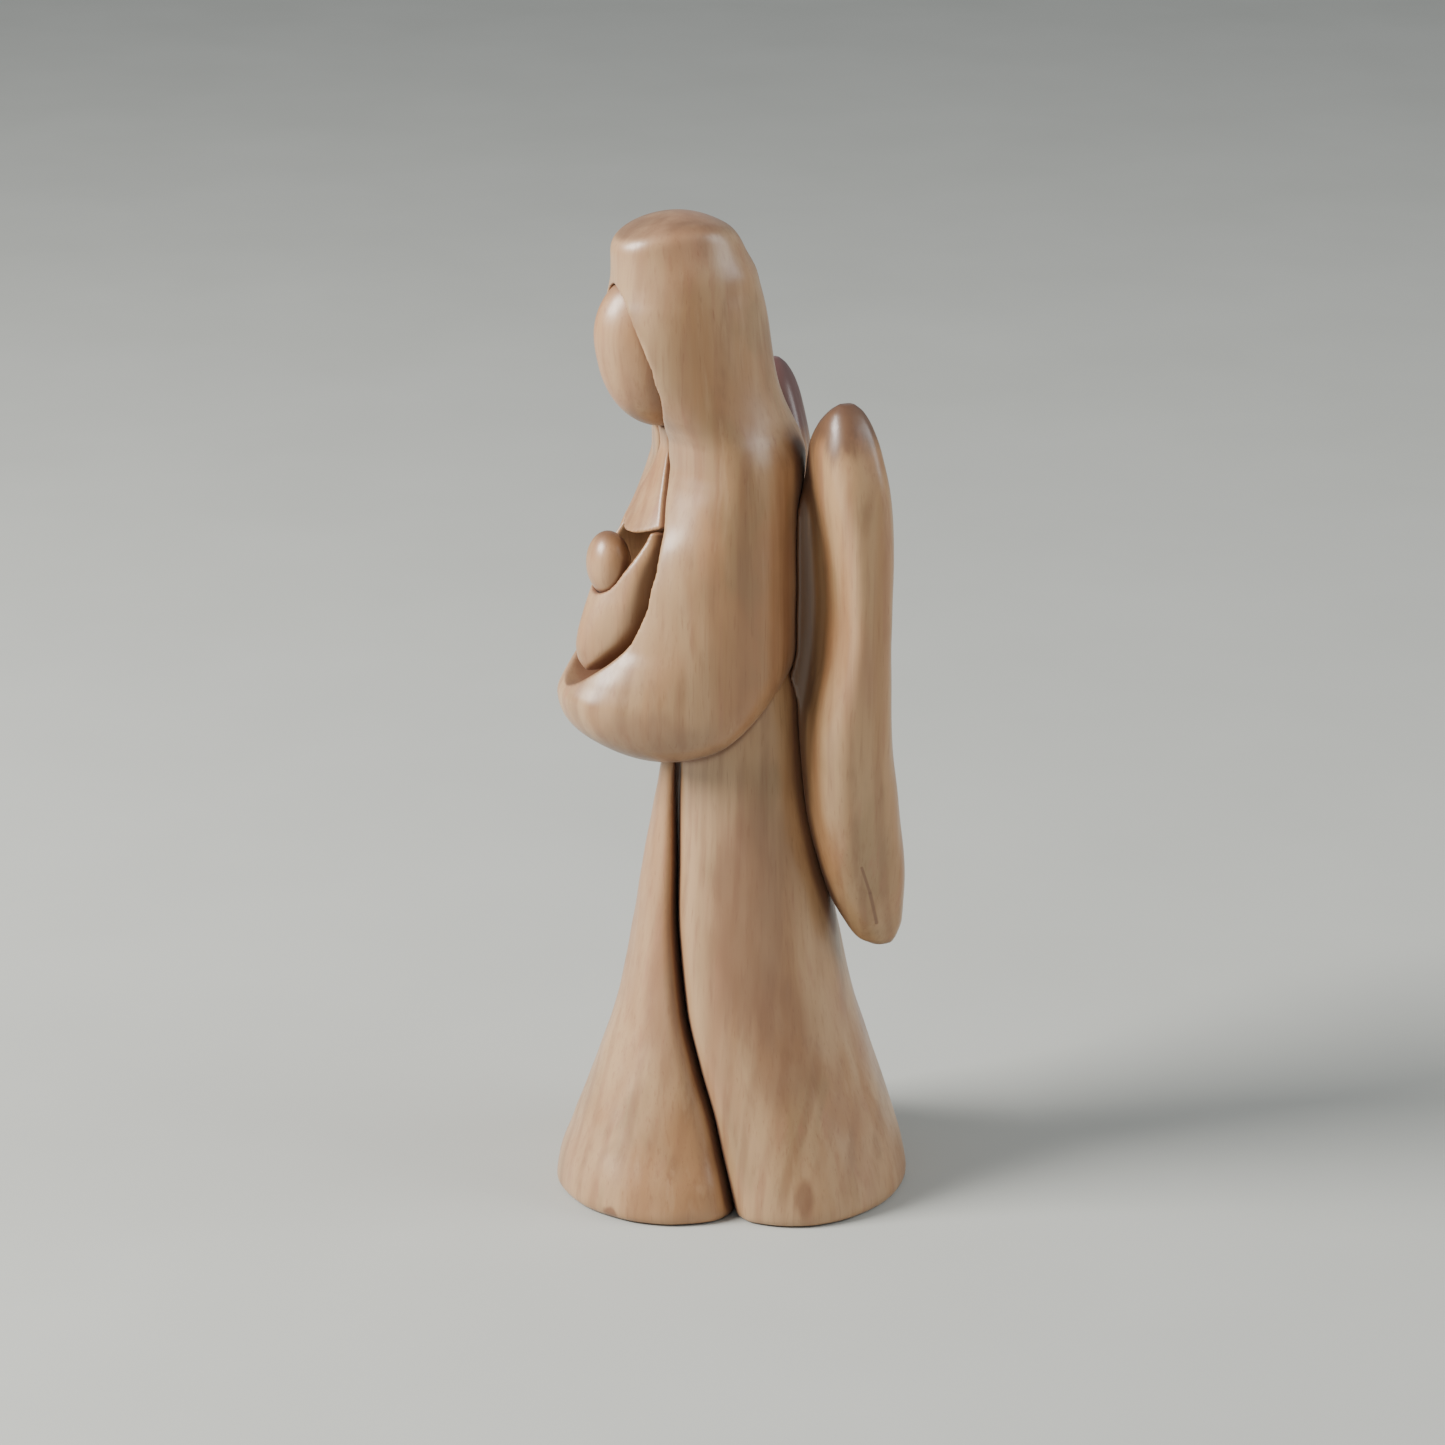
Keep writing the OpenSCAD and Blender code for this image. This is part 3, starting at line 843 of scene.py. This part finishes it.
def mesh_from(name, points, quads):
    """A smooth-shaded mesh object in metres, from points in millimetres."""
    mesh = bpy.data.meshes.new(name)
    mesh.from_pydata((points / 1000).tolist(), [], quads.tolist())
    mesh.validate()
    mesh.polygons.foreach_set("use_smooth", [True] * len(mesh.polygons))
    piece = bpy.data.objects.new(name, mesh)
    bpy.context.scene.collection.objects.link(piece)
    return piece


def normals_of(shape, points):
    g = gradient(shape, points)
    return g / np.maximum(np.linalg.norm(g, axis=1, keepdims=True), 1e-9)


def build_piece(name, shape, low, high, material):
    """Carves one piece, works out the shade painted into its grooves and ties it to its CAD node."""
    points, quads = carve(shape, low, high, FINE_CELL if name in FINE_PIECES else CELL)
    piece = mesh_from("carved_" + name, points, quads)
    shade = crevice(points, normals_of(shape, points))
    attribute = piece.data.attributes.new("crevice", "FLOAT", "POINT")
    attribute.data.foreach_set("value", shade.astype(np.float32))
    piece.data.materials.append(material)
    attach(piece, "root")
    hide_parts(name)


def materials():
    """The wood of each piece, with the marks and the painted shade that only that piece has, placed in
    millimetres.
    """
    apex = ([15.8, 11.4, 122.6], [7.5, 7, 8], APEX, 0.8)
    # the far wing's top: dark end grain, and painted shadow that the body casts on it
    far_apex = ([-12, 12.5, 118], [10, 8, 13], FAR_APEX, 0.9)
    # painted shade on the rib in the deep gap between the cloak and the wing
    gap_shade = ([8.5, 7, 84], [4.5, 3.2, 44], GAP_SHADE, 0.8)
    # painted shade on the robe's side behind the panel, and lower down on its side
    robe_side_shade = ([13.5, -2, 45], [6.5, 7, 24], SHADE_BROWN, 0.6)
    robe_low_shade = ([17, 2, 27], [6, 6, 13], SHADE_BROWN, 0.4)
    # painted shade in the small flute of the robe's hem
    flute_shade = ([23.7, 3.0, 4.5], [1.6, 1.7, 4.5], SHADE, 0.6)
    # painted shade on the panel's edge by the groove, under the chin and on the cloak's foot
    inner_edge_shade = ([7.5, -12.2, 34], [4.5, 5, 22], SHADE_BROWN, 0.4)
    throat_shade = ([7, -10.3, 119], [5, 5, 11], SHADE_BROWN, 0.35)
    pouch_foot_shade = ([11.5, -17, 74.5], [10, 10, 5.5], SHADE_BROWN, 0.4)
    hem_spot = ([10.5, -23.1, 0.8], [1.6, 1.6, 1.3], SHADE, 0.8)
    tip_marks = [
        ([18.7, 13.7, 54.0], [17.7, 15.5, 49.4], 0.32),
        ([17.7, 15.5, 49.4], [16.1, 17.3, 43.8], 0.4),
    ]
    return {
        "robe": wood("robe_wood", 0, (0.97, 0.95, 0.93), [robe_side_shade, robe_low_shade, flute_shade]),
        "dress_panel": wood("dress_wood", 1, (1.02, 1.0, 0.98), [hem_spot, inner_edge_shade]),
        "mantle": wood("mantle_wood", 2, (1, 1, 1), [throat_shade, pouch_foot_shade]),
        "face": wood("face_wood", 3, (1.08, 1.03, 1.0)),
        "bodice": wood("bodice_wood", 1, (1.05, 1.0, 0.95)),
        "swaddle": wood("baby_wood", 4, (1.04, 1.0, 0.97)),
        "baby_head": wood("baby_head_wood", 5, (1.06, 1.02, 1.0)),
        "left_wing": wood("wing_wood", 6, (1.0, 0.98, 0.94), [apex, gap_shade], tip_marks),
        "right_wing": wood("far_wing_wood", 7, (0.97, 0.93, 0.9), [far_apex]),
    }


def finish_dowels():
    """The hidden dowels stay as the CAD made them, in the same family of wood."""
    material = wood("dowel_wood", 8, (0.85, 0.82, 0.8))
    for side in ("left", "right"):
        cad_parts[side + "_wing_dowels"].material_slots[0].material = material


# ---- Stage, light and camera ----

MIDDLE = Vector((0, 0, 0.075))


def around(azimuth, elevation, distance):
    """A place round the figurine's middle: azimuth 0 is in front of it, 90 on its left side."""
    a, e = math.radians(azimuth), math.radians(elevation)
    level = distance * math.cos(e)
    return MIDDLE + Vector((level * math.sin(a), -level * math.cos(a), distance * math.sin(e)))


def soft_box(name, place, size, power, colour):
    """A square soft light at a place, pointed at the figurine's middle."""
    light = bpy.data.lights.new(name, "AREA")
    light.size = size
    light.energy = power
    light.color = colour
    box = bpy.data.objects.new(name, light)
    bpy.context.scene.collection.objects.link(box)
    box.location = place
    box.rotation_euler = (MIDDLE - place).to_track_quat("-Z", "Y").to_euler()


def build_floor():
    bpy.ops.mesh.primitive_plane_add(size=8, location=(0, 0, -0.00005))
    floor = bpy.context.object
    floor.name = "floor"
    floor.data.materials.append(floor_material())


def build_light():
    """A dim sky, a key light in front of the figurine and a weaker one behind it."""
    world = bpy.data.worlds.new("soft_sky")
    world.use_nodes = True
    sky = world.node_tree.nodes["Background"]
    sky.inputs["Color"].default_value = (0.86, 0.92, 1.0, 1)
    sky.inputs["Strength"].default_value = 0.3
    bpy.context.scene.world = world
    key_at = around(azimuth=-7, elevation=35, distance=0.9)
    rim_at = around(azimuth=150, elevation=30, distance=1.1)
    soft_box("key", key_at, size=0.4, power=18.0, colour=(1.0, 0.98, 0.96))
    soft_box("rim", rim_at, size=0.6, power=6.5, colour=(0.98, 0.99, 1.0))


# the camera: its place in metres, its tilt up from straight down and its turn in degrees, and its lens
CAMERA_AT, CAMERA_TILT, CAMERA_TURN, LENS = (0.5884, -0.2269, 0.2894), 71, 69, 112.1


def build_camera():
    data = bpy.data.cameras.new("camera")
    data.sensor_width = 36
    data.lens = LENS
    data.clip_start, data.clip_end = 0.01, 50
    camera = bpy.data.objects.new("camera", data)
    bpy.context.scene.collection.objects.link(camera)
    camera.location = CAMERA_AT
    camera.rotation_euler = (math.radians(CAMERA_TILT), 0, math.radians(CAMERA_TURN))
    bpy.context.scene.camera = camera


looks = materials()
for piece_name, (piece_shape, box_low, box_high, piece_slot) in PIECES.items():
    build_piece(piece_name, piece_shape, box_low, box_high, looks[piece_name])
finish_dowels()
build_floor()
build_light()
build_camera()
